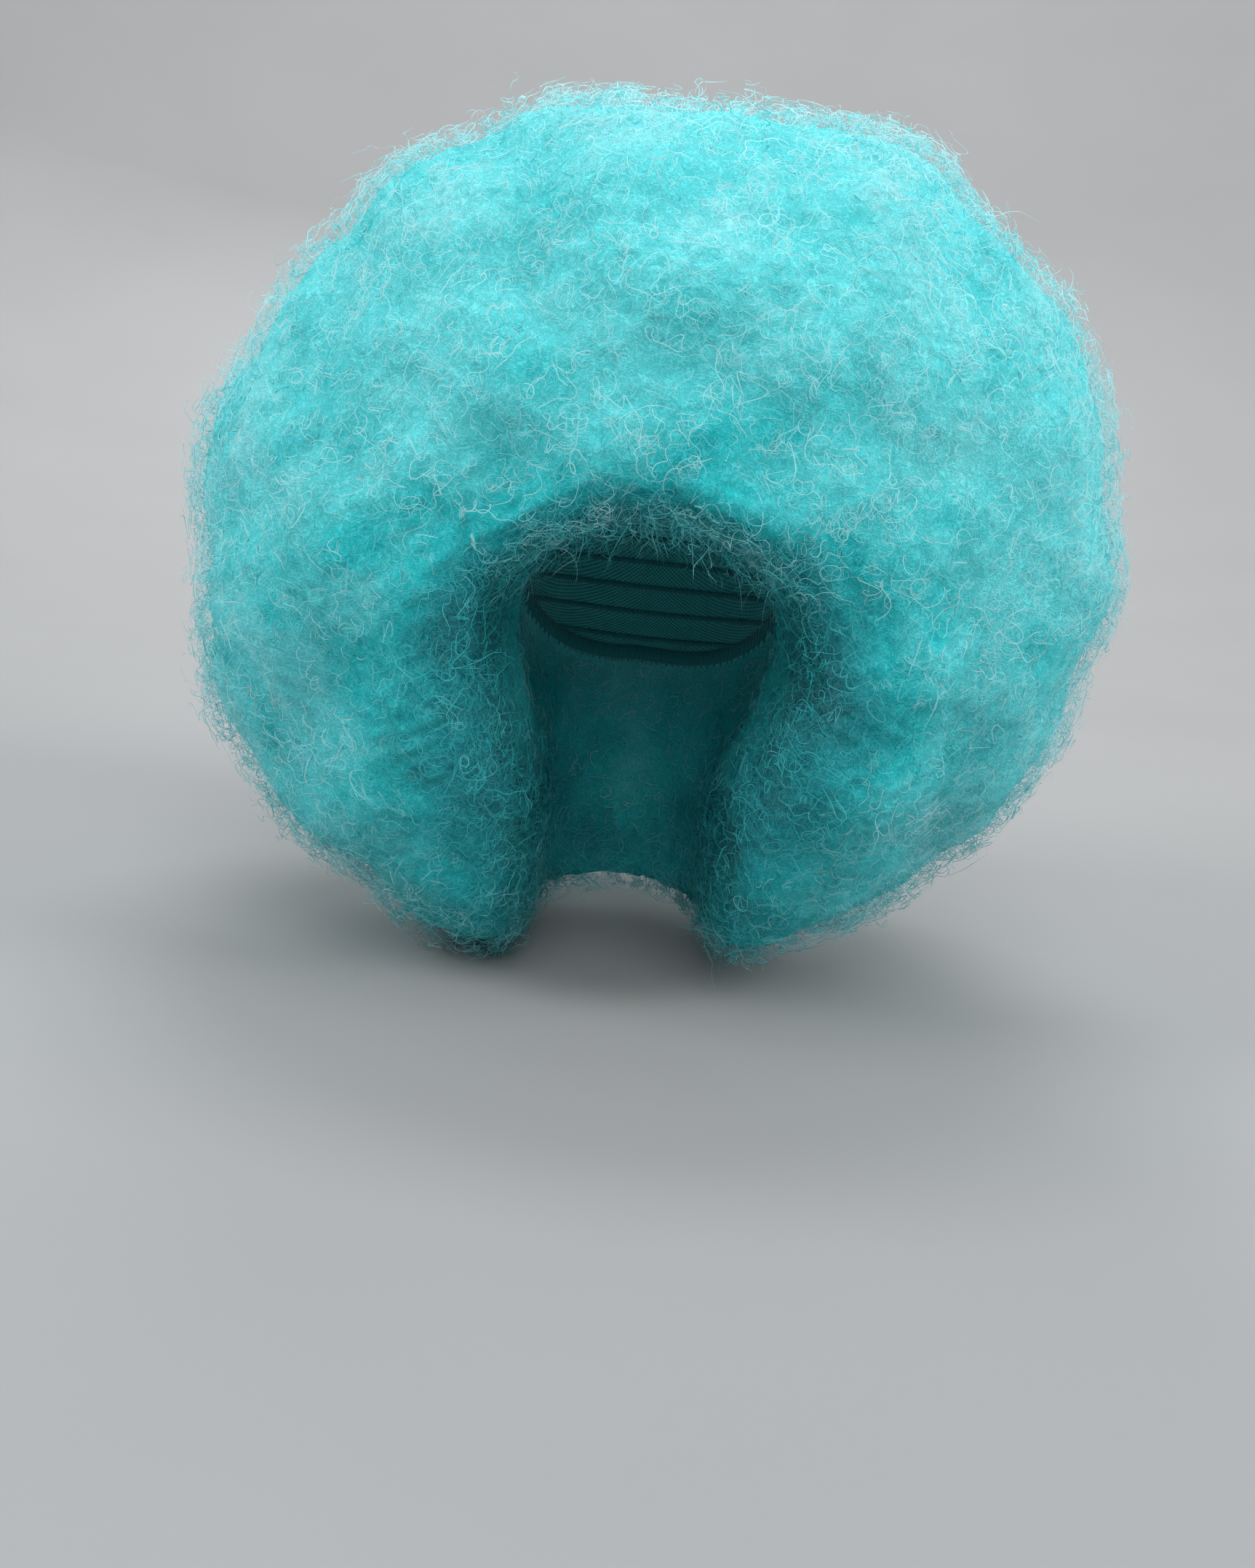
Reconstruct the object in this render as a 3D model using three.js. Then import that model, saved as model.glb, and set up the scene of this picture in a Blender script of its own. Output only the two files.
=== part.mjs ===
// Afro wig: a stretch cap for an adult head, and a round mass of teased hair fixed all over it.
// Millimetres, +Z up. The face looks along -Y, and +X is on the right of someone who looks at the face.
// The origin is the crown seat, where the top of the head meets the inside of the cap.
import * as THREE from "three";

// The head and neck that the wig is worn on
const headHalfWidth = 78;
const headHalfLength = 98;
const headHalfHeight = 104;
const neckHalfWidth = 46;
const neckHalfLength = 52;
const neckSetBack = 20;
const neckBlend = 8; // how softly the neck runs into the head

// The cap
const capWall = 2;
const clearance = 0.3;

// The hair, measured from its heart, the point that it spreads out from
const heartDrop = 84;
const hairHalfWidth = 238;
const hairFront = 172;
const hairBack = 212;
const hairAbove = 218;
const hairBelow = 222;
const hairThinnest = 14;

// The locks that the hair's outside is made of
const lockCount = 180;
const lockDepth = 6; // how far the surface falls half-way from one lock's tip to the next
const lockBlend = 3; // how softly two locks meet
const lockUneven = 0.018; // how far a lock's tip stands out or in, as a share of the hair's reach
const lockJitter = 0.35; // how far a lock strays from an even spacing, as a share of that spacing

// Both tables go round the opening for the face and neck, from the middle of the brow down the right side to
// the middle of the nape. The left side mirrors them. across, back and up are measured from the heart.
// hairline: where the hair starts on the head, in half sizes of the head.
// cap: degrees from the opening's axis to the cap's edge.
const hairline = [
  { across: 0, back: -0.95, up: 0.23, cap: 77.5 },
  { across: 0.56, back: -0.84, up: 0.08, cap: 77.5 },
  { across: 0.77, back: -0.71, up: -0.12, cap: 76 },
  { across: 0.82, back: -0.6, up: -0.37, cap: 73.5 },
  { across: 0.74, back: -0.52, up: -0.62, cap: 70.5 },
  { across: 0.67, back: -0.42, up: -0.81, cap: 65 },
  { across: 0.58, back: -0.2, up: -0.99, cap: 58 },
  { across: 0.58, back: -0.05, up: -1.19, cap: 77 },
  { across: 0.59, back: 0.05, up: -1.42, cap: 82 },
  { across: 0.59, back: 0.15, up: -1.64, cap: 79 },
  { across: 0.56, back: 0.39, up: -1.77, cap: 78 },
  { across: 0.41, back: 0.61, up: -1.8, cap: 79.5 },
  { across: 0, back: 0.73, up: -1.8, cap: 81.5 },
];

// mouth: where the opening's wall comes out of the hair, in half sizes of the hair.
// lip: radians over which the hair rounds over into the opening.
const mouth = [
  { across: 0, back: -1, up: 0.07, lip: 0.15 },
  { across: 0.19, back: -0.98, up: 0, lip: 0.16 },
  { across: 0.27, back: -0.96, up: -0.09, lip: 0.19 },
  { across: 0.29, back: -0.94, up: -0.2, lip: 0.21 },
  { across: 0.26, back: -0.91, up: -0.31, lip: 0.22 },
  { across: 0.23, back: -0.88, up: -0.4, lip: 0.22 },
  { across: 0.205, back: -0.85, up: -0.49, lip: 0.21 },
  { across: 0.185, back: -0.79, up: -0.59, lip: 0.2 },
  { across: 0.175, back: -0.66, up: -0.73, lip: 0.18 },
  { across: 0.17, back: -0.39, up: -0.9, lip: 0.15 },
  { across: 0.18, back: 0.02, up: -0.98, lip: 0.12 },
  { across: 0.135, back: 0.24, up: -0.96, lip: 0.1 },
  { across: 0, back: 0.33, up: -0.94, lip: 0.1 },
];

// How far the outline stands out or in, seen from the front, as a share of the hair's reach.
// clock: degrees from the right side, over the top.
const swells = [
  { clock: 0, out: 0.013 },
  { clock: 20, out: 0.03 },
  { clock: 40, out: 0.038 },
  { clock: 60, out: 0.07 },
  { clock: 80, out: 0 },
  { clock: 100, out: 0.035 },
  { clock: 120, out: 0.01 },
  { clock: 140, out: 0 },
  { clock: 160, out: 0 },
  { clock: 180, out: 0.032 },
  { clock: 200, out: 0.06 },
  { clock: 220, out: 0.09 },
  { clock: 240, out: 0.11 },
  { clock: 260, out: 0.07 },
  { clock: 280, out: 0.04 },
  { clock: 300, out: 0.03 },
  { clock: 320, out: 0.02 },
  { clock: 340, out: 0.01 },
];

// The opening's axis points forwards and down. Columns of points run from the back of the crown to it.
const mouthTilt = THREE.MathUtils.degToRad(56);
const lipFullness = 2.5; // 2 for a plain round, more for a fuller one
// How far from the axis the columns start to bend to the opening: at its sides, and at the brow and nape
const waistAtSides = THREE.MathUtils.degToRad(85);
const waistAtEnds = THREE.MathUtils.degToRad(104);
const columns = 90;
const backRows = 19;
const frontRows = 13;
const lipRows = 4;
const faceRows = 5; // inside of the hair between its edge and the cap's
const capRows = 8;

const turn = 2 * Math.PI;
const goldenAngle = Math.PI * (3 - Math.sqrt(5));
const headHalves = new THREE.Vector3(headHalfWidth, headHalfLength, headHalfHeight);
const heart = new THREE.Vector3(0, 0, -heartDrop);
const mouthAxis = new THREE.Vector3(0, -Math.cos(mouthTilt), -Math.sin(mouthTilt));
const mouthUp = new THREE.Vector3(0, -Math.sin(mouthTilt), Math.cos(mouthTilt));
const mouthRight = new THREE.Vector3(1, 0, 0);

// A direction out of the heart: open is its angle from the opening's axis, around its turn from the brow.
function direction(around, open) {
  return new THREE.Vector3()
    .addScaledVector(mouthAxis, Math.cos(open))
    .addScaledVector(mouthUp, Math.sin(open) * Math.cos(around))
    .addScaledVector(mouthRight, Math.sin(open) * Math.sin(around));
}

// A smooth line through the values of a closed loop of evenly spaced rows. place counts rows from the first.
function alongLoop(values, place) {
  const i = Math.floor(place);
  const share = place - i;
  const [before, from, to, after] = [-1, 0, 1, 2].map((k) => values[(i + k + values.length) % values.length]);
  const slopeFrom = (to - before) / 2;
  const slopeTo = (after - from) / 2;
  const bend = 3 * (to - from) - 2 * slopeFrom - slopeTo;
  const twist = 2 * (from - to) + slopeFrom + slopeTo;
  return from + share * (slopeFrom + share * (bend + share * twist));
}

// A table all the way round the opening: down the right side, and back up the left.
function bothSides(rows) {
  const left = rows.slice(1, -1).reverse();
  return [...rows, ...left.map((row) => ({ ...row, across: -row.across }))];
}

// What the two tables say at a column, as directions out of the heart and angles.
function openingAt(column) {
  const skinRows = bothSides(hairline);
  const mouthRows = bothSides(mouth);
  const place = (column * skinRows.length) / columns;
  const skin = (name) => alongLoop(skinRows.map((row) => row[name]), place);
  const out = (name) => alongLoop(mouthRows.map((row) => row[name]), place);
  const hairHalves = new THREE.Vector3(hairHalfWidth, out("back") < 0 ? hairFront : hairBack, hairBelow);
  return {
    around: (column * turn) / columns,
    skin: new THREE.Vector3(skin("across"), skin("back"), skin("up")).multiply(headHalves).normalize(),
    out: new THREE.Vector3(out("across"), out("back"), out("up")).multiply(hairHalves).normalize(),
    lip: out("lip"),
    cap: THREE.MathUtils.degToRad(skin("cap")),
  };
}

// How far the head lies from the heart.
function headReach(towards) {
  const scaled = towards.clone().divide(headHalves);
  const rise = (heartDrop - headHalfHeight) / headHalfHeight;
  const a = scaled.lengthSq();
  const b = -2 * scaled.z * rise;
  const c = rise * rise - 1;
  return (-b + Math.sqrt(b * b - 4 * a * c)) / (2 * a);
}

// How far the upright neck lies from the heart. It has no say above the heart.
function neckReach(towards) {
  if (towards.z >= 0) return 0;
  const x = towards.x / neckHalfWidth;
  const y = towards.y / neckHalfLength;
  const back = neckSetBack / neckHalfLength;
  const a = Math.max(x * x + y * y, 1e-6);
  const b = -2 * y * back;
  const c = back * back - 1;
  return Math.min((-b + Math.sqrt(b * b - 4 * a * c)) / (2 * a), 2 * hairBelow);
}

// The skin of the head, and of the neck below it, with a soft change from one to the other.
function skinReach(towards) {
  const head = headReach(towards);
  const neck = neckReach(towards);
  const soften = neckBlend * Math.min(1, neck / headHalfHeight);
  return (head + neck + Math.hypot(head - neck, soften)) / 2;
}

// The hair's general outside: an ellipsoid that is flatter in front than behind, with the outline's swells.
function hairReach(towards) {
  const x = towards.x / hairHalfWidth;
  const y = towards.y / (towards.y < 0 ? hairFront : hairBack);
  const z = towards.z / (towards.z > 0 ? hairAbove : hairBelow);
  const clock = (THREE.MathUtils.radToDeg(Math.atan2(towards.z, towards.x)) + 360) % 360;
  const sideways = 1 - towards.y * towards.y;
  const swell = sideways * alongLoop(swells.map((row) => row.out), clock / swells[1].clock);
  return (1 + swell) / Math.hypot(x, y, z);
}

// The same uneven number from 0 to 1 for the same seed, every time.
function uneven(seed) {
  const wave = Math.sin(seed * 12.9898) * 43758.5453;
  return wave - Math.floor(wave);
}

// The locks are spread evenly over all directions, each a little off its place and of its own length.
const lockSpacing = Math.sqrt((2 * turn) / lockCount);
const locks = Array.from({ length: lockCount }, (_, i) => {
  const height = 1 - (2 * i + 1) / lockCount;
  const out = Math.sqrt(1 - height * height);
  const stray = new THREE.Vector3(uneven(i + 0.1) - 0.5, uneven(i + 0.4) - 0.5, uneven(i + 0.7) - 0.5);
  const towards = new THREE.Vector3(out * Math.cos(goldenAngle * i), out * Math.sin(goldenAngle * i), height);
  towards.addScaledVector(stray, 2 * lockJitter * lockSpacing).normalize();
  return { towards, longer: lockUneven * (2 * uneven(i + 0.9) - 1) };
});

// The outside with its locks: round tips, with creases where two locks meet.
function lockedReach(towards) {
  const reach = hairReach(towards);
  let together = 0;
  for (const lock of locks) {
    const off = Math.acos(Math.min(1, towards.dot(lock.towards))) / (lockSpacing / 2);
    if (off < 4) together += Math.exp((reach * lock.longer - lockDepth * off * off) / lockBlend);
  }
  return reach + lockBlend * Math.log(together);
}

function capOutside(towards) {
  return skinReach(towards) + capWall;
}

// The hair's inside lies on the cap, and goes on at the same height over the skin below it.
function hairInside(towards) {
  return Math.min(capOutside(towards) + clearance, lockedReach(towards) - hairThinnest);
}

function pointAt(towards, reachAt) {
  return towards.clone().multiplyScalar(reachAt(towards)).add(heart);
}

const places = Array.from({ length: columns }, (_, j) => openingAt(j));
const pole = direction(0, Math.PI);

// Where each column leaves the hair's outside: away from the opening's edge by the breadth of the lip.
const lipStarts = places.map((place, j) => {
  const along = places[(j + 1) % columns].out.clone().sub(places[(j + columns - 1) % columns].out);
  const away = place.out.clone().cross(along).normalize();
  return place.out.clone().addScaledVector(away, place.lip).normalize();
});

// Directions from one to another, in even steps. The first is left out.
function stepsBetween(from, to, count) {
  return Array.from({ length: count }, (_, i) => from.clone().lerp(to, (i + 1) / count).normalize());
}

// Directions from the pole to a turn and an angle from the opening's axis. The pole is left out.
function columnFromPole(around, open, count) {
  const step = (open - Math.PI) / count;
  return Array.from({ length: count }, (_, i) => direction(around, Math.PI + step * (i + 1)));
}

// The points of all columns, made into rings
function rings(columnPoints) {
  return columnPoints[0].map((_, i) => columnPoints.map((points) => points[i]));
}

// One closed surface: out from a pole over the outside's rings, and back over the inside's to its own pole.
// The inside is cut into triangles the same way as the outside, so that surfaces which follow each other stay
// apart, and the left side mirrors the right.
function closedThrough(outerPole, outside, inside, innerPole) {
  const all = [...outside, ...inside];
  const points = [outerPole, ...all.flat(), innerPole];
  const faces = [];
  const at = (ring, column) => 1 + ring * columns + (column % columns);
  for (let j = 0; j < columns; j++) {
    faces.push(0, at(0, j), at(0, j + 1));
    for (let i = 0; i + 1 < all.length; i++) {
      const corners = [at(i, j), at(i + 1, j), at(i + 1, j + 1), at(i, j + 1)];
      const isOutside = i < outside.length;
      const isRight = j < columns / 2;
      const [a, b, c, d] = isOutside === isRight ? [...corners.slice(1), corners[0]] : corners;
      faces.push(a, b, c, a, c, d);
    }
    faces.push(at(all.length - 1, j), points.length - 1, at(all.length - 1, j + 1));
  }
  const geometry = new THREE.BufferGeometry().setFromPoints(points);
  geometry.setIndex(faces);
  geometry.computeVertexNormals();
  return geometry;
}

// The cap's directions from beside the pole to its edge, which the inside of the hair shares
const capColumns = places.map((place) => columnFromPole(place.around, place.cap, capRows));

function overCap(reachAt) {
  return rings(capColumns.map((column) => column.map((towards) => pointAt(towards, reachAt))));
}

function makeCap() {
  const inside = overCap(skinReach).reverse();
  return closedThrough(pointAt(pole, capOutside), overCap(capOutside), inside, pointAt(pole, skinReach));
}

function outsideColumn(place, j) {
  const lengthwise = Math.cos(place.around) ** 2;
  const waist = THREE.MathUtils.lerp(waistAtSides, waistAtEnds, lengthwise);
  const back = columnFromPole(place.around, waist, backRows);
  const front = stepsBetween(back[backRows - 1], lipStarts[j], frontRows);
  return [...back, ...front].map((towards) => pointAt(towards, lockedReach));
}

// From the outside over into the opening and down to the skin, in a quarter of a round that is drawn out
function lipColumn(place, j) {
  const start = pointAt(lipStarts[j], lockedReach);
  const corner = pointAt(place.out, lockedReach);
  const end = pointAt(place.skin, hairInside);
  return Array.from({ length: lipRows }, (_, i) => {
    const fall = ((i + 1) / (lipRows + 1)) * (Math.PI / 2);
    const fromStart = 1 - Math.sin(fall) ** (2 / lipFullness);
    const fromEnd = 1 - Math.cos(fall) ** (2 / lipFullness);
    return corner
      .clone()
      .addScaledVector(start.clone().sub(corner), fromStart)
      .addScaledVector(end.clone().sub(corner), fromEnd);
  });
}

function faceColumn(place, j) {
  const towardsCap = stepsBetween(place.skin, capColumns[j][capRows - 1], faceRows);
  return [place.skin, ...towardsCap.slice(0, -1)].map((towards) => pointAt(towards, hairInside));
}

function makeHair() {
  const outside = rings(places.map((place, j) => [...outsideColumn(place, j), ...lipColumn(place, j)]));
  const inside = [...rings(places.map(faceColumn)), ...overCap(hairInside).reverse()];
  return closedThrough(pointAt(pole, lockedReach), outside, inside, pointAt(pole, hairInside));
}

function part(name, geometry, material) {
  const mesh = new THREE.Mesh(geometry, material);
  mesh.name = name;
  return mesh;
}

const hairFibre = new THREE.MeshStandardMaterial({ color: 0x4cc9c8, roughness: 0.75, metalness: 0 });
const capNet = new THREE.MeshStandardMaterial({ color: 0x2c8f92, roughness: 0.9, metalness: 0 });

const wig = new THREE.Group();
wig.add(part("cap", makeCap(), capNet));
wig.add(part("hair", makeHair(), hairFibre));

export default wig;
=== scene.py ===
"""A big afro wig: a woolly base, curly frizz all over it, wisps round the face, and its net cap."""

import math

import bmesh
import bpy
import numpy as np
from mathutils import Matrix, Vector
from mathutils.bvhtree import BVHTree
from mathutils.kdtree import KDTree


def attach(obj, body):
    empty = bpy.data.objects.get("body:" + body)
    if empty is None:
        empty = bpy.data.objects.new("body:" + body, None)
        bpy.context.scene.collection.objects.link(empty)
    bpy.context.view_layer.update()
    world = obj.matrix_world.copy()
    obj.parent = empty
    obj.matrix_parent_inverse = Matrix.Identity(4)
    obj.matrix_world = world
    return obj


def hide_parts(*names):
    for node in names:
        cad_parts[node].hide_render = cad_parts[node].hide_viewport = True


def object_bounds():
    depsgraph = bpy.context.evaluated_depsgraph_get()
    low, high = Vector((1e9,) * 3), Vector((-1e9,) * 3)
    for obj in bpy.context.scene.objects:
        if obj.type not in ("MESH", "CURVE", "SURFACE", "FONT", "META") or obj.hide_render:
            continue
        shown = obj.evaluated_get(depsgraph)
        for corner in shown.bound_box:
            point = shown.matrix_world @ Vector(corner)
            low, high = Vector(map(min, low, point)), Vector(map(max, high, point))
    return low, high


MM = 0.001

# The photograph: its size and focal length in pixels, and where it was taken from
PHOTO_WIDTH = 1725
PHOTO_HEIGHT = 2156
PHOTO_FOCAL = 2100
CAMERA_PLACE = Vector((-1, -818, -28)) * MM
CAMERA_PITCH = math.radians(13)
CAMERA_ROLL = math.radians(6.5)
SENSOR_WIDTH = 36  # in millimetres

# The point in the head that the hair spreads out from, and the slope of the opening's axis down from it
HEART = np.array((0, 0, -84)) * MM
OPENING_TILT = math.radians(56)

# How far the base lies inside the hair's outside and inside the opening's wall. The frizz fills that space.
BASE_SINK = 5.5 * MM
WALL_SINK = 3 * MM
CAP_TOUCH = 1.6 * MM  # hair nearer to the cap than this lies on it and doesn't show
LOWEST_HAIR = -312.6 * MM  # the wig's lowest point, where it stands on the floor
FLOOR_LAYER = 1.5 * MM  # how high strands are piled up where they lie bent on the floor

# Bumps, from large to small: how far across they are, and how far they stand out
PUFF_LENGTH = 48 * MM
PUFF_HEIGHT = 0.6 * MM
CLUMP_LENGTH = 26 * MM
CLUMP_HEIGHT = 3.5 * MM  # in the frizz alone
TUFT_LENGTH = 17 * MM
TUFT_HEIGHT = 0.3 * MM
WOOL_LENGTH = 7 * MM
WOOL_HEIGHT = 0.6 * MM  # in the base alone

# Paler and deeper patches, and painted shade for clefts between tufts: how far across they are, and how much
# they change tones
PATCH_LENGTH = 62 * MM
PATCH_TONE = 0.035
CLEFT_LENGTH = 42 * MM
PAINTED_CLEFT_SHADE = 0.1
SWIRL_LENGTH = 40 * MM  # strands within about this distance of each other lie much the same way

# The frizz: ribbons so narrow that each reads as one fibre. Upper strands stand out of the rest.
FRIZZ_COUNT = 22000
FRIZZ_SEGMENTS = 16
FRIZZ_WIDTH = 0.34 * MM
FRIZZ_LENGTHS = (30, 48)  # in millimetres, as all lengths of strands here
UPPER_SHARE = 0.6
PATCH_DENSITY = 0.12  # how much more frizz the paler patches have
RIM_DENSITY = 0.6  # how much more frizz the opening's rim and wall have
CROWN_SHARE = 0.2  # of the roots, those that count as the crown
UNDER_SHARE = 0.15  # and those that count as the underside

# Loose strands: strays stand out of the outline, and wisps hang over the edge of the opening
STRAY_COUNT = 1200
STRAY_LENGTHS = (22, 46)
WISP_COUNT = 2150
WISP_LENGTHS = (24, 48)
STRAY_SEGMENTS = 18
STRAY_WIDTH = 0.27 * MM
BROW_HEIGHT = -60 * MM
BROW_FADE = 50 * MM  # hair that is this far below the brow isn't over it any more
BROW_WISPS = 2  # how much more wisps there are over the brow
BROW_DROOP = 16 * MM  # how far the longest of them hang down

# The radii of curls: the usual one in millimetres, how much they vary, the least and the most
FRIZZ_CURLS = (3.2, 0.3, 2, 8)
STRAY_CURLS = (3.8, 0.35, 2, 9)
WISP_CURLS = (4.2, 0.35, 2.2, 10)

# The run of a strand. Looping strands turn in rings, and the others wave from side to side.
LOOPING_SHARE = 0.6
RING_BIAS = (0.65, 0.95)  # how much of a ring's bend keeps to one side
WAVE_BIAS = (0, 0.5)  # how much of a wave's does
WAVE_BEND = 1.6
WAVE_LENGTHS = (13, 24)
TIPPING = 0.1  # how far a ring's plane turns over in each millimetre, in radians
SIDE_SPREAD = 1.5  # how far strands stray from the way that their neighbours lie
LEANS = (-0.3, 1.6)  # how steeply they set out from the surface

# Ribbons: how far they are rolled to either side and how they twist with each step, in radians
RIBBON_ROLL = 1.4
RIBBON_TWIST = 0.06
TAPER_START = 0.7  # where along its length a ribbon begins to narrow
TIP_WIDTH = 0.3
OUTWARD_SHADING = 0.65  # how far they are shaded as the hair's outside is, and not as they lie themselves

# Tones, from 0 for the deepest hair to 1 for the palest
BASE_TONE = 0.7
LOWER_TONE = 0.68
# painted light: the upper frizz, which stands out of the rest, is paler than the lower
UPPER_TONE = 0.92
STRAY_TONE = 0.9
WISP_TONE = 0.86
RISE_PAINTED_LIGHT = 0.1  # painted light: how much paler the frizz is at its top than at the base
LOOSE_RISE_PAINTED_LIGHT = 0.01  # painted light: how much paler loose strands are for each millimetre that they stand out

# The hair's colour at some tones, as red, green and blue from 0 to 255
HAIR_TONES = [
    (0.0, (0, 98, 106)),
    (0.25, (0, 158, 166)),
    (0.45, (6, 196, 201)),
    (0.7, (104, 220, 225)),
    (1.0, (196, 240, 244)),
]

# Painted shade: hair near the opening is deeper in tone. The shades are those beside the neck, cheeks, eyes
# and brow.
OPENING_SHADE_LENGTH = 42 * MM
OPENING_SHADE_HEIGHTS = np.array((-300, -215, -130, -60)) * MM
OPENING_SHADES = (0.30, 0.60, 0.66, 0.32)
BROW_SPARED = 0.9  # the share of that shade that the brow's upper frizz is spared
STRAY_SHADED = 0.8  # the share that strays get
WISP_SHADED = 0.7

# The cap's inside: sewn rows, at angles in degrees above the level of the heart, and a band in the cap's edge
WEFT_ROWS = 15
WEFT_LOWEST = -44
WEFT_STEP = 8.2
WEFT_PLACES = 150
WEFT_WIDTH = 3.2 * MM
WEFT_THICKNESS = 0.9 * MM
EDGE_PLACES = 220
EDGE_WIDTH = 9 * MM
EDGE_THICKNESS = 1.1 * MM
EDGE_BETWEEN = (40, 110)  # the cap's edge is between these angles from the opening's axis, in degrees
EDGE_HALVINGS = 16  # how often that range is halved to find it

# The floor is a disc that curves up into a round wall. Its sizes and the places of lights are in metres.
FLOOR_RADIUS = 1.2
CURVE_RADIUS = 2.8
WALL_HEIGHT = 4.2
CURVE_STEPS = 12
FLOOR_TURNS = 72

# Soft round lights: name, place, what they point at (None is the wig), how wide they are, and their watts
LIGHTS = [
    ("key", (0.1, -1.8, 1.6), None, 1.6, 29),
    ("top", (0.0, 0.1, 2.4), None, 2.0, 8),
    ("left", (-2.4, -0.8, 1.3), None, 1.2, 40),
    ("right", (2.4, -0.7, 1.3), None, 1.2, 42),
    ("rear", (-0.4, 2.2, 1.5), None, 1.6, 20),
    ("backdrop", (0, 1.2, 3.2), (0, 4, 0.6), 2.0, 100),
]
SKY_COLOUR = (0.94, 0.97, 1, 1)
SKY_STRENGTH = 0.4


def linear(colour):
    """A colour of 0 to 255 as the linear light that shaders work with."""
    share = np.array(colour, float) / 255
    return np.where(share <= 0.04045, share / 12.92, ((share + 0.055) / 1.055) ** 2.4)


def unit(vectors):
    return vectors / np.maximum(np.linalg.norm(vectors, axis=-1, keepdims=True), 1e-9)


def dot(a, b):
    return (a * b).sum(axis=-1, keepdims=True)


class Ripples:
    """A smooth uneven field in space. Its bumps are about a length across, and its values vary by about 1."""

    def __init__(self, seed, length, count=28):
        rng = np.random.default_rng(seed)
        towards = unit(rng.normal(size=(count, 3)))
        lengths = length * rng.uniform(0.7, 1.5, count)
        self.waves = 2 * math.pi * towards / lengths[:, None]
        self.phases = rng.uniform(0, 2 * math.pi, count)

    def at(self, points):
        waves = np.sin(points @ self.waves.T + self.phases)
        return math.sqrt(2 / len(self.phases)) * waves.sum(axis=-1)


PUFFS = Ripples(11, PUFF_LENGTH)
TUFTS = Ripples(12, TUFT_LENGTH)
WOOL = Ripples(13, WOOL_LENGTH)
PATCHES = Ripples(14, PATCH_LENGTH)
CLEFTS = Ripples(18, CLEFT_LENGTH)
CLUMPS = Ripples(19, CLUMP_LENGTH)
SWIRLS = [Ripples(seed, SWIRL_LENGTH) for seed in (15, 16, 17)]


def relief(points):
    """How far puffs and tufts of hair lift the surface."""
    return PUFF_HEIGHT * PUFFS.at(points) + TUFT_HEIGHT * TUFTS.at(points)


def patches_and_cleft_shade(points):
    """How much paler or deeper the hair is from place to place, and deeper still with painted shade for a few
    clefts between tufts.
    """
    return PATCH_TONE * PATCHES.at(points) - PAINTED_CLEFT_SHADE * smoothstep(0.7, 2.2, CLEFTS.at(points))


class OpeningShade:
    """Painted shade: how much deeper in tone the hair is painted for being near the wall of the opening."""

    def __init__(self, surface):
        wall = surface.centres[(np.abs(surface.facing) < 0.35) & surface.shows]
        self.tree = KDTree(len(wall))
        for i, point in enumerate(wall):
            self.tree.insert(point, i)
        self.tree.balance()

    def at(self, points):
        gaps = np.array([self.tree.find(point)[2] for point in points])
        depth = np.interp(points[:, 2], OPENING_SHADE_HEIGHTS, OPENING_SHADES)
        return depth * np.exp(-gaps / OPENING_SHADE_LENGTH)


def hair_tint(tone):
    """The hair's colour for a tone from 0, deep, to 1, pale."""
    stops = [stop for stop, _ in HAIR_TONES]
    colours = np.array([linear(colour) for _, colour in HAIR_TONES])
    channels = [np.interp(tone, stops, colours[:, i]) for i in range(3)]
    return np.stack([*channels, np.ones_like(tone)], axis=-1)


# Meshes

def link(obj):
    bpy.context.scene.collection.objects.link(obj)
    return obj


def read_points(mesh, what="co"):
    values = np.empty(len(mesh.vertices) * 3, np.float32)
    mesh.vertices.foreach_get(what, values)
    return values.reshape(-1, 3).astype(float)


def quad_mesh(name, points, quads):
    """A mesh from arrays of points and of four-cornered faces."""
    mesh = bpy.data.meshes.new(name)
    mesh.vertices.add(len(points))
    mesh.vertices.foreach_set("co", points.astype(np.float32).ravel())
    mesh.loops.add(quads.size)
    mesh.loops.foreach_set("vertex_index", quads.astype(np.int32).ravel())
    mesh.polygons.add(len(quads))
    mesh.polygons.foreach_set("loop_start", np.arange(0, quads.size, 4, dtype=np.int32))
    mesh.polygons.foreach_set("use_smooth", np.ones(len(quads), bool))
    mesh.update(calc_edges=True)
    return mesh


def paint(mesh, tints):
    colours = mesh.color_attributes.new("tint", "FLOAT_COLOR", "POINT")
    colours.data.foreach_set("color", tints.astype(np.float32).ravel())


def welded_quads(node):
    """A copy of a CAD node's mesh with its corners welded and its triangles paired into quads."""
    mesh = bpy.data.meshes.new(node.name + "_quads")
    bm = bmesh.new()
    bm.from_mesh(node.data)
    bmesh.ops.remove_doubles(bm, verts=bm.verts, dist=0.002 * MM)
    bmesh.ops.join_triangles(
        bm,
        faces=bm.faces,
        angle_face_threshold=math.radians(60),
        angle_shape_threshold=math.radians(90),
    )
    bm.to_mesh(mesh)
    bm.free()
    return mesh


def subdivided(mesh, levels):
    """The mesh after smooth subdivision, as a new mesh."""
    obj = link(bpy.data.objects.new("subdividing", mesh))
    modifier = obj.modifiers.new("smooth", "SUBSURF")
    modifier.levels = levels
    evaluated = obj.evaluated_get(bpy.context.evaluated_depsgraph_get())
    made = bpy.data.meshes.new_from_object(evaluated)
    bpy.data.objects.remove(obj)
    return made


def outwardness(points, normals):
    """How far each normal points away from the heart: 1 on the hair's outside, -1 beside the head."""
    return dot(normals, unit(points - HEART))[:, 0]


def smoothstep(low, high, values):
    share = np.clip((values - low) / (high - low), 0, 1)
    return share * share * (3 - 2 * share)


def base_sink(facing):
    """How deep the base lies. It isn't sunk beside the head."""
    outside = (BASE_SINK - WALL_SINK) * smoothstep(0.1, 0.8, facing)
    return outside + WALL_SINK * smoothstep(-0.6, -0.1, facing)


# Hair surfaces

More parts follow.
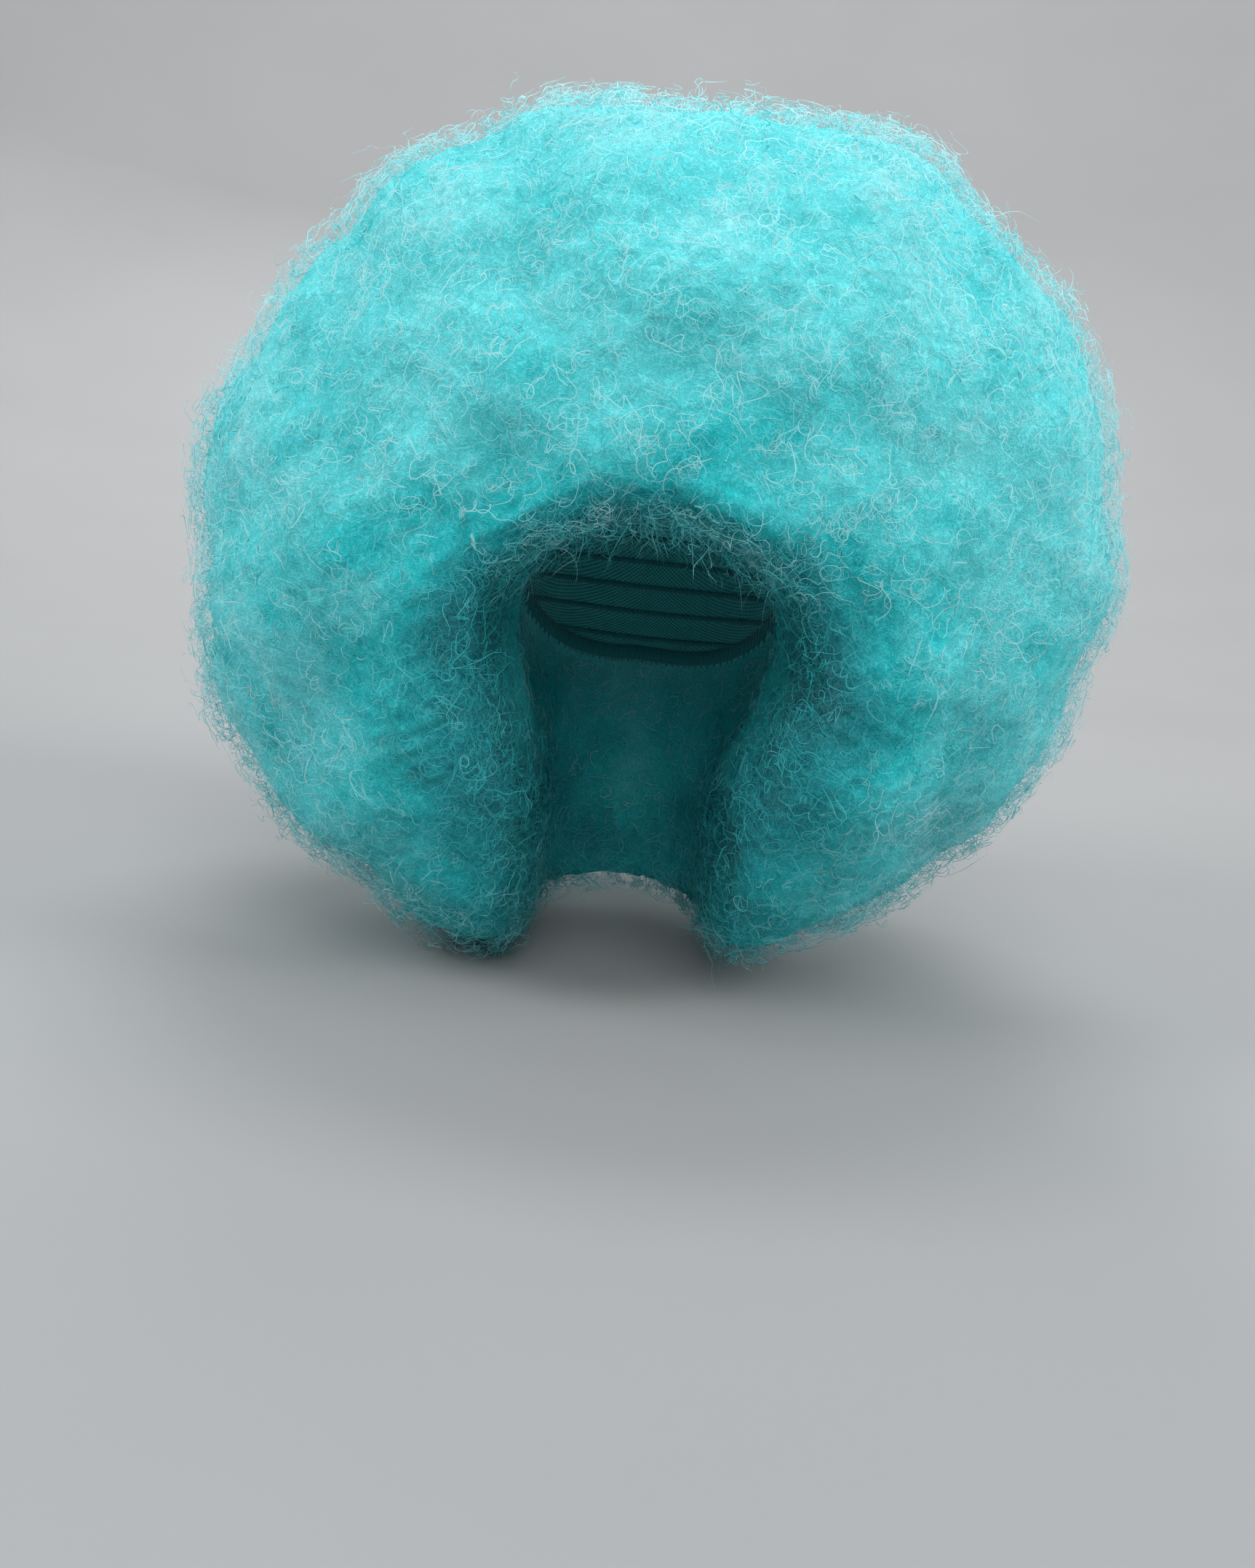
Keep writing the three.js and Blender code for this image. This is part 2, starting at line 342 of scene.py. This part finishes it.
def make_base(quads, shade):
    """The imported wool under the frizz, sunk below the hair's outside and left in its place on the cap."""
    points = read_points(quads)
    normals = read_points(quads, "normal")
    sunk = quads.copy()
    sink = base_sink(outwardness(points, normals))
    sunk.vertices.foreach_set("co", (points - normals * sink[:, None]).astype(np.float32).ravel())
    mesh = subdivided(sunk, 2)
    bpy.data.meshes.remove(sunk)
    points = read_points(mesh)
    normals = read_points(mesh, "normal")
    free = smoothstep(-0.3, 0.5, outwardness(points, normals))
    lift = free * (relief(points) + WOOL_HEIGHT * WOOL.at(points))
    mesh.vertices.foreach_set("co", (points + normals * lift[:, None]).astype(np.float32).ravel())
    mesh.update()
    mesh.shade_smooth()
    # Painted shade near the opening and in the clefts is taken off the base's tone
    tone = BASE_TONE + patches_and_cleft_shade(points) + 0.02 * TUFTS.at(points) - shade.at(points)
    paint(mesh, hair_tint(tone))
    mesh.name = "hair_base"
    return link(bpy.data.objects.new("hair_base", mesh))


def tree_of(node):
    """A search tree of a CAD node's faces."""
    places = [vertex.co for vertex in node.data.vertices]
    return BVHTree.FromPolygons(places, [polygon.vertices for polygon in node.data.polygons])


class Surface:
    """The hair's outside, to scatter strands on. Faces that lie on the cap get none."""

    def __init__(self, mesh, cap_tree):
        mesh.calc_loop_triangles()
        corners = np.empty(len(mesh.loop_triangles) * 3, np.int32)
        mesh.loop_triangles.foreach_get("vertices", corners)
        self.corners = corners.reshape(-1, 3)
        self.points = read_points(mesh)
        self.normals = read_points(mesh, "normal")
        gaps = [cap_tree.find_nearest(Vector(point))[3] for point in self.points]
        self.shows = (np.array(gaps) > CAP_TOUCH)[self.corners].all(axis=1)
        a, b, c = (self.points[self.corners[:, i]] for i in range(3))
        self.areas = np.linalg.norm(np.cross(b - a, c - a), axis=1) / 2
        self.centres = (a + b + c) / 3
        self.facing = outwardness(self.centres, unit(np.cross(b - a, c - a)))

    def scatter(self, rng, count, density):
        """Points and normals spread over the surface. density has a number for each triangle."""
        weights = self.areas * self.shows * density
        picked = self.corners[rng.choice(len(weights), count, p=weights / weights.sum())]
        across, down = rng.random((2, count, 1))
        flip = across + down > 1
        across = np.where(flip, 1 - across, across)
        down = np.where(flip, 1 - down, down)
        shares = (1 - across - down, across, down)
        points = sum(share * self.points[picked[:, i]] for i, share in enumerate(shares))
        normals = sum(share * self.normals[picked[:, i]] for i, share in enumerate(shares))
        return points, unit(normals)


def curl_radii(rng, count, usual, spread, least, most):
    return np.clip(rng.lognormal(math.log(usual), spread, count), least, most) * MM


def grow(rng, roots, normals, lengths, radii, segments, depth, flatness):
    """Curly strands from their roots, as points of shape (strands, segments + 1, 3).
    Some turn on one circle that slowly tips over, and others bend to one side and then to the other.
    flatness is how far the bends lie along the surface."""
    count = len(roots)
    step = (lengths / segments)[:, None]
    swirl = np.stack([field.at(roots) for field in SWIRLS], axis=-1)
    sideways = unit(np.cross(normals, unit(swirl) + SIDE_SPREAD * rng.normal(size=(count, 3))))
    heading = unit(sideways + rng.uniform(*LEANS, (count, 1)) * normals)
    turning = flatness * normals * rng.choice((-1, 1), (count, 1))
    turning = turning + (1 - flatness) * rng.normal(size=(count, 3))
    axis = unit(turning - heading * dot(turning, heading))
    tipping = rng.normal(0, TIPPING, (count, 1)) / MM
    loops = rng.random((count, 1)) < LOOPING_SHARE
    ring_bias = rng.uniform(*RING_BIAS, (count, 1))
    wave_bias = rng.uniform(*WAVE_BIAS, (count, 1))
    bias = np.where(loops, ring_bias, wave_bias)
    waver = rng.uniform(0, 2 * math.pi, (count, 1))
    quickness = 2 * math.pi * step / (rng.uniform(*WAVE_LENGTHS, (count, 1)) * MM)
    points = [roots - normals * depth[:, None]]
    for i in range(segments):
        points.append(points[-1] + heading * step)
        bend = step / radii[:, None] * (bias + WAVE_BEND * (1 - bias) * np.sin(waver + quickness * i))
        heading = unit(heading * np.cos(bend) + np.cross(axis, heading) * np.sin(bend))
        tip = tipping * step
        axis = unit(axis * np.cos(tip) + np.cross(heading, axis) * np.sin(tip))
    return np.stack(points, axis=1)


def held_between(points, roots, normals, low, high):
    """Strands pressed softly into the layer between two heights over the surface, and their heights then."""
    heights = dot(points - roots[:, None], normals[:, None])
    middle = ((low + high) / 2)[:, None, None]
    half = ((high - low) / 2)[:, None, None]
    pressed = middle + half * np.tanh((heights - middle) / half)
    return points + normals[:, None] * (pressed - heights), pressed[..., 0]


def ribbons(name, rng, points, normals, tones, width):
    """Strands as one mesh of narrow ribbons, each tapered to its tip and twisted a little along its length.
    Strands that would reach below the wig lie bent on the floor."""
    strands, places = points.shape[:2]
    resting = LOWEST_HAIR + FLOOR_LAYER * rng.random((strands, 1))
    points[..., 2] = np.maximum(points[..., 2], resting)
    along = unit(np.gradient(points, axis=1))
    outward = np.broadcast_to(normals[:, None], points.shape)
    flat = unit(np.cross(along, outward))
    roll = rng.uniform(-RIBBON_ROLL, RIBBON_ROLL, (strands, 1, 1))
    roll = roll + rng.normal(0, RIBBON_TWIST, (strands, 1, 1)) * np.arange(places)[:, None]
    side = flat * np.cos(roll) + np.cross(along, flat) * np.sin(roll)
    taper = np.interp(np.linspace(0, 1, places), (0, TAPER_START, 1), (1, 1, TIP_WIDTH))
    reach = side * (width / 2)[:, None, None] * taper[:, None]
    pairs = np.stack([points - reach, points + reach], axis=2)
    own = np.cross(side, along)
    facing = dot(own, outward)
    own = own * np.sign(facing + 1e-6)
    start = 2 * (np.arange(strands)[:, None] * places + np.arange(places - 1))
    faces_out = (facing[:, 1:] + facing[:, :-1] > 0).reshape(-1, 1)
    quads = np.stack([start, start + 1, start + 3, start + 2], axis=-1).reshape(-1, 4)
    quads = np.where(faces_out, quads, quads[:, ::-1])
    mesh = quad_mesh(name, pairs.reshape(-1, 3), quads)
    shading = unit(OUTWARD_SHADING * outward + (1 - OUTWARD_SHADING) * own)
    shading = np.repeat(shading[:, :, None], 2, axis=2).reshape(-1, 3)
    mesh.normals_split_custom_set_from_vertices(shading.tolist())
    paint(mesh, np.repeat(hair_tint(tones)[:, :, None], 2, axis=2).reshape(-1, 4))
    return link(bpy.data.objects.new(name, mesh))


def make_frizz(surface, shade):
    """The frizz that covers the base, as a piece for each side of the wig. It is shorter beside the head."""
    rng = np.random.default_rng(21)
    density = 1 + PATCH_DENSITY * np.clip(PATCHES.at(surface.centres), -1.5, 1.5)
    density = density * (1 + RIM_DENSITY * (np.abs(surface.facing) < 0.45))
    roots, normals = surface.scatter(rng, FRIZZ_COUNT, density)
    facing = outwardness(roots, normals)
    outer = smoothstep(-0.4, 0.3, facing)
    sink = base_sink(facing)
    upper = rng.random(FRIZZ_COUNT) < UPPER_SHARE
    fullness = 0.6 + 0.4 * outer
    lengths = rng.uniform(*FRIZZ_LENGTHS, FRIZZ_COUNT) * MM * fullness
    radii = curl_radii(rng, FRIZZ_COUNT, *FRIZZ_CURLS)
    upper_depth = rng.uniform(-0.3, 0.4, FRIZZ_COUNT)
    lower_depth = rng.uniform(0.2, 1.0, FRIZZ_COUNT)
    lift = outer * (relief(roots) + CLUMP_HEIGHT * smoothstep(0.2, 1.9, CLUMPS.at(roots)))
    depth = sink * np.where(upper, upper_depth, lower_depth) - (lift + 0.5 * MM * (1 - outer))
    points = grow(rng, roots, normals, lengths, radii, FRIZZ_SEGMENTS, depth, 0.05)
    low = lift - sink - 3 * MM
    upper_reach = 3 + rng.exponential(2.2, FRIZZ_COUNT)
    lower_reach = 1 + rng.exponential(1.0, FRIZZ_COUNT)
    high = lift + np.where(upper, upper_reach, lower_reach) * MM * fullness
    points, heights = held_between(points, roots, normals, low, high)
    rise = np.clip((heights - lift[:, None]) / BASE_SINK + 1, 0, 1.6)
    # Painted light: upper strands, and strands higher over the base, are paler
    tones = np.where(upper, UPPER_TONE, LOWER_TONE)[:, None] + RISE_PAINTED_LIGHT * rise
    tones = tones + 0.08 * rng.normal(size=(FRIZZ_COUNT, 1))
    # Painted shade near the opening, mostly spared on the brow's upper frizz
    shaded = shade.at(roots) * (1 - BROW_SPARED * upper * brow_share(roots))
    # The patches differ at random; the clefts in them are painted shade
    tones = tones + (patches_and_cleft_shade(roots) - shaded)[:, None]
    widths = FRIZZ_WIDTH * np.where(upper, 1, 1.1) * rng.uniform(0.75, 1.25, FRIZZ_COUNT)
    pieces = []
    for side, members in sides_of(roots).items():
        chosen = (points[members], normals[members], tones[members], widths[members])
        pieces.append(ribbons("frizz_" + side, rng, *chosen))
    return pieces


def sides_of(roots):
    """Which roots lie on each side of the wig: the crown, the underside, and four quarters between them."""
    towards = unit(roots - HEART)
    height = towards[:, 2]
    crown = height > np.quantile(height, 1 - CROWN_SHARE)
    under = height < np.quantile(height, UNDER_SHARE)
    clock = np.degrees(np.arctan2(towards[:, 1], towards[:, 0]))
    between = ~crown & ~under
    return {
        "crown": crown,
        "under": under,
        "front": between & (clock > -135) & (clock <= -45),
        "right": between & (clock > -45) & (clock <= 45),
        "back": between & (clock > 45) & (clock <= 135),
        "left": between & ((clock > 135) | (clock <= -135)),
    }


def make_strays(surface, shade):
    """Long loose loops that stand out of the frizz all round the outline."""
    rng = np.random.default_rng(31)
    roots, normals = surface.scatter(rng, STRAY_COUNT, (surface.facing > 0.5).astype(float))
    lengths = rng.uniform(*STRAY_LENGTHS, STRAY_COUNT) * MM
    radii = curl_radii(rng, STRAY_COUNT, *STRAY_CURLS)
    depth = np.full(STRAY_COUNT, 3 * MM)
    points = grow(rng, roots, normals, lengths, radii, STRAY_SEGMENTS, depth, 0.15)
    low = np.full(STRAY_COUNT, -8 * MM)
    high = rng.uniform(4, 10, STRAY_COUNT) * MM
    points, heights = held_between(points, roots, normals, low, high)
    # Painted light: paler the further the strand stands out
    tones = STRAY_TONE + LOOSE_RISE_PAINTED_LIGHT * heights / MM + 0.06 * rng.normal(size=(STRAY_COUNT, 1))
    # Painted shade near the opening
    tones = tones - STRAY_SHADED * shade.at(roots)[:, None]
    widths = STRAY_WIDTH * rng.uniform(0.8, 1.2, STRAY_COUNT)
    return ribbons("stray_loops", rng, points, normals, tones, widths)


def brow_share(points):
    """1 for hair over the brow, and 0 for hair well below it or behind."""
    return (points[:, 1] < 0) * smoothstep(BROW_HEIGHT - BROW_FADE, BROW_HEIGHT, points[:, 2])


def make_wisps(surface, shade):
    """Thin loops that hang loose over the edge of the opening."""
    rng = np.random.default_rng(41)
    edge = (surface.facing > -0.3) & (surface.facing < 0.6)
    density = edge * (1 + BROW_WISPS * brow_share(surface.centres))
    roots, normals = surface.scatter(rng, WISP_COUNT, density)
    lengths = rng.uniform(*WISP_LENGTHS, WISP_COUNT) * MM
    radii = curl_radii(rng, WISP_COUNT, *WISP_CURLS)
    depth = np.full(WISP_COUNT, 2 * MM)
    points = grow(rng, roots, normals, lengths, radii, STRAY_SEGMENTS, depth, 0.1)
    low = np.full(WISP_COUNT, -4 * MM)
    high = rng.uniform(4, 12, WISP_COUNT) * MM
    points, heights = held_between(points, roots, normals, low, high)
    along = np.linspace(0, 1, STRAY_SEGMENTS + 1)
    hanging = brow_share(roots) * rng.random(WISP_COUNT)
    points[..., 2] -= BROW_DROOP * hanging[:, None] * along ** 2
    # Painted light: paler the further the strand stands out
    tones = WISP_TONE + LOOSE_RISE_PAINTED_LIGHT * heights / MM + 0.1 * rng.normal(size=(WISP_COUNT, 1))
    # Painted shade near the opening
    tones = tones - WISP_SHADED * shade.at(roots)[:, None]
    widths = STRAY_WIDTH * rng.uniform(0.8, 1.2, WISP_COUNT)
    return ribbons("edge_wisps", rng, points, normals, tones, widths)


# The cap's inside

def from_opening(around, open_angle):
    """A direction out of the heart, from its turn round the opening's axis and its angle from that axis."""
    axis = np.array((0, -math.cos(OPENING_TILT), -math.sin(OPENING_TILT)))
    upward = np.array((0, -math.sin(OPENING_TILT), math.cos(OPENING_TILT)))
    sideways = upward * math.cos(around) + np.array((1, 0, 0)) * math.sin(around)
    return axis * math.cos(open_angle) + sideways * math.sin(open_angle)


def bands(name, courses, width, thickness):
    """Flat bands as one mesh. A course is (points, directions across it, directions off the cap, closed)."""
    corners = []
    quads = []
    count = 0
    for points, across, off, closed in courses:
        sections = [
            points + across * (width / 2 * side) + off * thickness * rise
            for side, rise in ((-1, 0), (-0.8, 1), (0.8, 1), (1, 0))
        ]
        corners.append(np.stack(sections, axis=1).reshape(-1, 3))
        steps = len(points) if closed else len(points) - 1
        for i in range(steps):
            here = count + 4 * i
            after = count + 4 * ((i + 1) % len(points))
            for k in range(4):
                turn = (k + 1) % 4
                quads.append((here + k, here + turn, after + turn, after + k))
        if not closed:
            last = count + 4 * (len(points) - 1)
            quads.append((count + 3, count + 2, count + 1, count))
            quads.append((last, last + 1, last + 2, last + 3))
        count += 4 * len(points)
    return quad_mesh(name, np.concatenate(corners), np.array(quads))


def runs(found):
    """The stretches of a closed row where found is true: their places, and whether it is the whole row."""
    count = len(found)
    if all(found):
        return [(list(range(count)), True)]
    start = found.index(False)
    stretches = [[]]
    for i in range(start, start + count):
        if found[i % count]:
            stretches[-1].append(i % count)
        elif stretches[-1]:
            stretches.append([])
    return [(stretch, False) for stretch in stretches if len(stretch) > 4]


def make_wefts(cap_tree):
    """The sewn rows that the hair hangs from, level round the inside of the cap."""
    courses = []
    for row in range(WEFT_ROWS):
        rise = math.radians(WEFT_LOWEST + WEFT_STEP * row)
        towards = []
        for i in range(WEFT_PLACES):
            clock = 2 * math.pi * i / WEFT_PLACES
            level = (math.cos(clock) * math.cos(rise), math.sin(clock) * math.cos(rise))
            towards.append(Vector((*level, math.sin(rise))))
        hits = [cap_tree.ray_cast(Vector(HEART), direction)[0] for direction in towards]
        for stretch, closed in runs([hit is not None for hit in hits]):
            points = np.array([hits[i] for i in stretch])
            off = -np.array([towards[i] for i in stretch])
            along = unit(np.gradient(points, axis=0))
            courses.append((points, unit(np.cross(along, off)), off, closed))
    mesh = bands("weft_rows", courses, WEFT_WIDTH, WEFT_THICKNESS)
    return link(bpy.data.objects.new("weft_rows", mesh))


def make_edge_band(cap_tree):
    """The elastic band that is sewn inside the cap's edge."""
    points = []
    off = []
    across = []
    for i in range(EDGE_PLACES):
        around = 2 * math.pi * i / EDGE_PLACES
        outside, inside = (math.radians(angle) for angle in EDGE_BETWEEN)
        for _ in range(EDGE_HALVINGS):
            middle = (outside + inside) / 2
            if cap_tree.ray_cast(Vector(HEART), Vector(from_opening(around, middle)))[0] is None:
                outside = middle
            else:
                inside = middle
        edge = np.array(cap_tree.ray_cast(Vector(HEART), Vector(from_opening(around, inside)))[0])
        farther = from_opening(around, inside + (EDGE_WIDTH / 2) / np.linalg.norm(edge - HEART))
        middle = np.array(cap_tree.ray_cast(Vector(HEART), Vector(farther))[0])
        points.append(middle)
        off.append(-farther)
        across.append(unit(edge - middle))
    course = (np.array(points), np.array(across), np.array(off), True)
    mesh = bands("edge_band", [course], EDGE_WIDTH, EDGE_THICKNESS)
    return link(bpy.data.objects.new("edge_band", mesh))


# Materials

class Nodes:
    """A material's node tree, with its Principled shader."""

    def __init__(self, name, **settings):
        self.material = bpy.data.materials.new(name)
        self.material.use_nodes = True
        self.tree = self.material.node_tree
        self.shader = self.tree.nodes["Principled BSDF"]
        for socket, value in settings.items():
            self.shader.inputs[socket.replace("_", " ")].default_value = value

    def add(self, kind, inputs=None, **settings):
        node = self.tree.nodes.new("ShaderNode" + kind)
        for name, value in settings.items():
            setattr(node, name, value)
        for socket, value in (inputs or {}).items():
            self.feed(node.inputs[socket], value)
        return node

    def feed(self, socket, value):
        if isinstance(value, bpy.types.NodeSocket):
            self.tree.links.new(value, socket)
        else:
            socket.default_value = value

    def maths(self, operation, *values, clamp=False):
        node = self.add("Math", operation=operation, use_clamp=clamp)
        for socket, value in zip(node.inputs, values):
            self.feed(socket, value)
        return node.outputs[0]

    def mixed(self, share, first, second, blend="MIX"):
        node = self.add("Mix", data_type="RGBA", blend_type=blend)
        for socket, value in ((0, share), (6, first), (7, second)):
            self.feed(node.inputs[socket], value)
        return node.outputs[2]

    def place(self):
        return self.add("TexCoord").outputs["Object"]

    def noise(self, where, scale, detail=2.0, distortion=0.0):
        inputs = {"Vector": where, "Scale": scale, "Detail": detail, "Distortion": distortion}
        return self.add("TexNoise", inputs).outputs["Fac"]

    def shifted(self, where, x, y, z):
        return self.add("VectorMath", {0: where, 1: (x, y, z)}, operation="ADD").outputs[0]

    def threads(self, where, scale, distortion, thinness):
        """Thin curly lines, where a warped noise crosses its middle value: 1 on a line, 0 away from it."""
        field = self.noise(where, scale, 1.0, distortion)
        away = self.maths("ABSOLUTE", self.maths("SUBTRACT", field, 0.5))
        return self.maths("SUBTRACT", 1.0, self.maths("MULTIPLY", away, thinness), clamp=True)

    def let_through(self, colour, share):
        """Lets a share of the light through to the other side, as a thin fibre does."""
        through = self.add("BsdfTranslucent", {"Color": colour})
        both = self.add("MixShader", {0: share, 1: self.shader.outputs[0], 2: through.outputs[0]})
        self.tree.links.new(both.outputs[0], self.tree.nodes["Material Output"].inputs["Surface"])

    def bump(self, height, strength, distance):
        inputs = {"Height": height, "Strength": strength, "Distance": distance}
        self.feed(self.shader.inputs["Normal"], self.add("Bump", inputs).outputs[0])


def wool_material():
    """Packed curly fibre: three webs of fine pale threads over a deeper ground. The pale threads are painted
    light on the top fibres, and the deeper ground is painted shade in the gaps.
    """
    nodes = Nodes("packed_wool", Roughness=0.8, Specular_IOR_Level=0.2)
    where = nodes.place()
    webs = [
        nodes.threads(where, 150, 2.2, 20),
        nodes.threads(nodes.shifted(where, 0.3, 0.1, 0.2), 210, 1.8, 16),
        nodes.threads(nodes.shifted(where, 0.7, 0.5, 0.9), 290, 1.5, 13),
    ]
    web = nodes.maths("MAXIMUM", nodes.maths("MAXIMUM", webs[0], webs[1]), webs[2])
    tint = nodes.add("Attribute", attribute_name="tint").outputs["Color"]
    # Painted shade in the gaps between the threads
    dark = nodes.mixed(1.0, tint, (0.7, 0.88, 0.88, 1), "MULTIPLY")
    # Painted light on the threads
    pale = nodes.mixed(0.22, tint, (0.25, 0.5, 0.52, 1), "ADD")
    nodes.feed(nodes.shader.inputs["Base Color"], nodes.mixed(web, dark, pale))
    nodes.bump(web, 0.6, 0.8 * MM)
    return nodes.material


def fibre_material():
    """One fibre of the frizz: its painted colour, with small changes along it."""
    nodes = Nodes("curly_fibre", Roughness=0.5, Specular_IOR_Level=0.25)
    where = nodes.place()
    tint = nodes.add("Attribute", attribute_name="tint").outputs["Color"]
    fleck = nodes.noise(where, 260, 2.0)
    dark = nodes.mixed(1.0, tint, (0.86, 0.92, 0.92, 1), "MULTIPLY")
    pale = nodes.mixed(0.12, tint, (*linear((190, 244, 244)), 1))
    colour = nodes.mixed(fleck, dark, pale)
    nodes.feed(nodes.shader.inputs["Base Color"], colour)
    nodes.bump(nodes.noise(where, 1500, 1.0), 0.15, 0.05 * MM)
    nodes.let_through(colour, 0.42)
    return nodes.material


def net_material():
    """Stretch net: fine threads that cross on the slant, darker in the holes between them."""
    nodes = Nodes("stretch_net", Roughness=0.85, Sheen_Weight=0.2, Specular_IOR_Level=0.25)
    where = nodes.place()
    parts = nodes.add("SeparateXYZ", {0: where}).outputs
    slant = nodes.maths("ADD", parts[0], parts[1])
    other = nodes.maths("SUBTRACT", parts[0], parts[1])
    wave = 2 * math.pi / (2.4 * MM)
    first = nodes.maths("SINE", nodes.maths("MULTIPLY", nodes.maths("ADD", slant, parts[2]), wave))
    second = nodes.maths("SINE", nodes.maths("MULTIPLY", nodes.maths("SUBTRACT", other, parts[2]), wave))
    threads = nodes.maths("MAXIMUM", first, second)
    worn = nodes.noise(where, 60, 3.0)
    hole = (*linear((20, 120, 126)), 1)
    thread = nodes.mixed(worn, (*linear((64, 186, 190)), 1), (*linear((96, 210, 212)), 1))
    cover = nodes.maths("MULTIPLY_ADD", threads, 0.9, 0.35, clamp=True)
    nodes.feed(nodes.shader.inputs["Base Color"], nodes.mixed(cover, hole, thread))
    nodes.bump(threads, 0.5, 0.4 * MM)
    return nodes.material


def band_material():
    """Woven elastic: close uneven ribs, with small knots raised between them."""
    nodes = Nodes("sewn_band", Roughness=0.8, Sheen_Weight=0.2, Specular_IOR_Level=0.25)
    where = nodes.place()
    wave = nodes.add("TexWave", {"Vector": where, "Scale": 260, "Distortion": 3.0, "Detail": 1.0})
    ribs = wave.outputs["Fac"]
    knots = nodes.add("TexVoronoi", {"Vector": where, "Scale": 420}).outputs["Distance"]
    dark = (*linear((18, 104, 112)), 1)
    light = (*linear((52, 158, 164)), 1)
    nodes.feed(nodes.shader.inputs["Base Color"], nodes.mixed(ribs, dark, light))
    nodes.bump(nodes.maths("ADD", ribs, knots), 0.5, 0.3 * MM)
    return nodes.material


def floor_material():
    nodes = Nodes("pale_floor", Roughness=0.9, Specular_IOR_Level=0.1)
    grain = nodes.noise(nodes.place(), 3, 4.0)
    tint = nodes.mixed(grain, (0.30, 0.305, 0.31, 1), (0.33, 0.335, 0.34, 1))
    nodes.feed(nodes.shader.inputs["Base Color"], tint)
    return nodes.material


# Stage, lights and camera

def make_stage(height):
    """A round pale floor that curves up into a wall, far enough out that no view is blocked."""
    profile = [(0, 0), (FLOOR_RADIUS / 2, 0)]
    for i in range(CURVE_STEPS + 1):
        bend = i * math.pi / 2 / CURVE_STEPS
        out = FLOOR_RADIUS + CURVE_RADIUS * math.sin(bend)
        profile.append((out, CURVE_RADIUS * (1 - math.cos(bend))))
    profile.append((FLOOR_RADIUS + CURVE_RADIUS, WALL_HEIGHT))
    bm = bmesh.new()
    points = [bm.verts.new((out, 0, height + up)) for out, up in profile]
    edges = [bm.edges.new(pair) for pair in zip(points, points[1:])]
    bmesh.ops.spin(
        bm,
        geom=[*points, *edges],
        axis=(0, 0, 1),
        angle=2 * math.pi,
        steps=FLOOR_TURNS,
        use_merge=True,
    )
    bmesh.ops.remove_doubles(bm, verts=bm.verts, dist=0.01 * MM)
    mesh = bpy.data.meshes.new("floor")
    bm.to_mesh(mesh)
    bm.free()
    mesh.shade_smooth()
    mesh.materials.append(floor_material())
    floor = link(bpy.data.objects.new("floor", mesh))


def soft_light(name, place, aim, size, power):
    data = bpy.data.lights.new(name, "AREA")
    data.shape = "DISK"
    data.size = size
    data.energy = power
    light = link(bpy.data.objects.new(name, data))
    light.location = place
    light.rotation_mode = "QUATERNION"
    light.rotation_quaternion = (Vector(place) - Vector(aim)).to_track_quat("Z", "Y")
    light.visible_camera = False


def make_lights(centre):
    for name, place, aim, size, power in LIGHTS:
        soft_light(name, place, aim or centre, size, power)
    world = bpy.data.worlds.new("studio")
    bpy.context.scene.world = world
    world.use_nodes = True
    background = world.node_tree.nodes["Background"]
    background.inputs["Color"].default_value = SKY_COLOUR
    background.inputs["Strength"].default_value = SKY_STRENGTH


def make_camera():
    data = bpy.data.cameras.new("photo_camera")
    data.sensor_width = SENSOR_WIDTH
    data.lens = data.sensor_width * PHOTO_FOCAL / max(PHOTO_WIDTH, PHOTO_HEIGHT)
    camera = link(bpy.data.objects.new("photo_camera", data))
    right = Vector((1, 0, 0))
    up = Vector((0, math.sin(CAMERA_PITCH), math.cos(CAMERA_PITCH)))
    back = Vector((0, -math.cos(CAMERA_PITCH), math.sin(CAMERA_PITCH)))
    across = right * math.cos(CAMERA_ROLL) + up * math.sin(CAMERA_ROLL)
    upward = up * math.cos(CAMERA_ROLL) - right * math.sin(CAMERA_ROLL)
    turned = Matrix((across, upward, back)).transposed().to_4x4()
    camera.matrix_world = Matrix.Translation(CAMERA_PLACE) @ turned
    bpy.context.scene.camera = camera


def dress(piece, material):
    """Gives a new piece of hair its material, hangs it from the root, and hides the plain hair that it stands
    in for.
    """
    piece.data.materials.append(material)
    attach(piece, "root")
    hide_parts("hair")


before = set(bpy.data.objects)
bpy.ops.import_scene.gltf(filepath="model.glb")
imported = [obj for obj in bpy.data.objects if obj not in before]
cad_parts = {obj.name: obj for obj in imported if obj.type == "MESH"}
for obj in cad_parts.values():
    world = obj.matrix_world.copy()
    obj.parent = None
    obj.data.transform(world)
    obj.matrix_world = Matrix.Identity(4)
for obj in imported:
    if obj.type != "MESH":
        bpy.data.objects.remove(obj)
cad_low, cad_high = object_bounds()
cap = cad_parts["cap"]
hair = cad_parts["hair"]

make_camera()
make_lights((cad_low + cad_high) / 2)
make_stage(cad_low.z - 1 * MM)

hair_quads = welded_quads(hair)
wool = wool_material()
fibre = fibre_material()
cap_tree = tree_of(cap)
surface = Surface(subdivided(hair_quads, 1), cap_tree)
shade = OpeningShade(surface)
dress(make_base(hair_quads, shade), wool)
for piece in [*make_frizz(surface, shade), make_strays(surface, shade), make_wisps(surface, shade)]:
    dress(piece, fibre)

band = band_material()
for piece in (make_wefts(cap_tree), make_edge_band(cap_tree)):
    piece.data.materials.append(band)
    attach(piece, "root")
net = net_material()
for slot in cap.material_slots:
    slot.material = net

bpy.context.scene.view_settings.view_transform = "Standard"
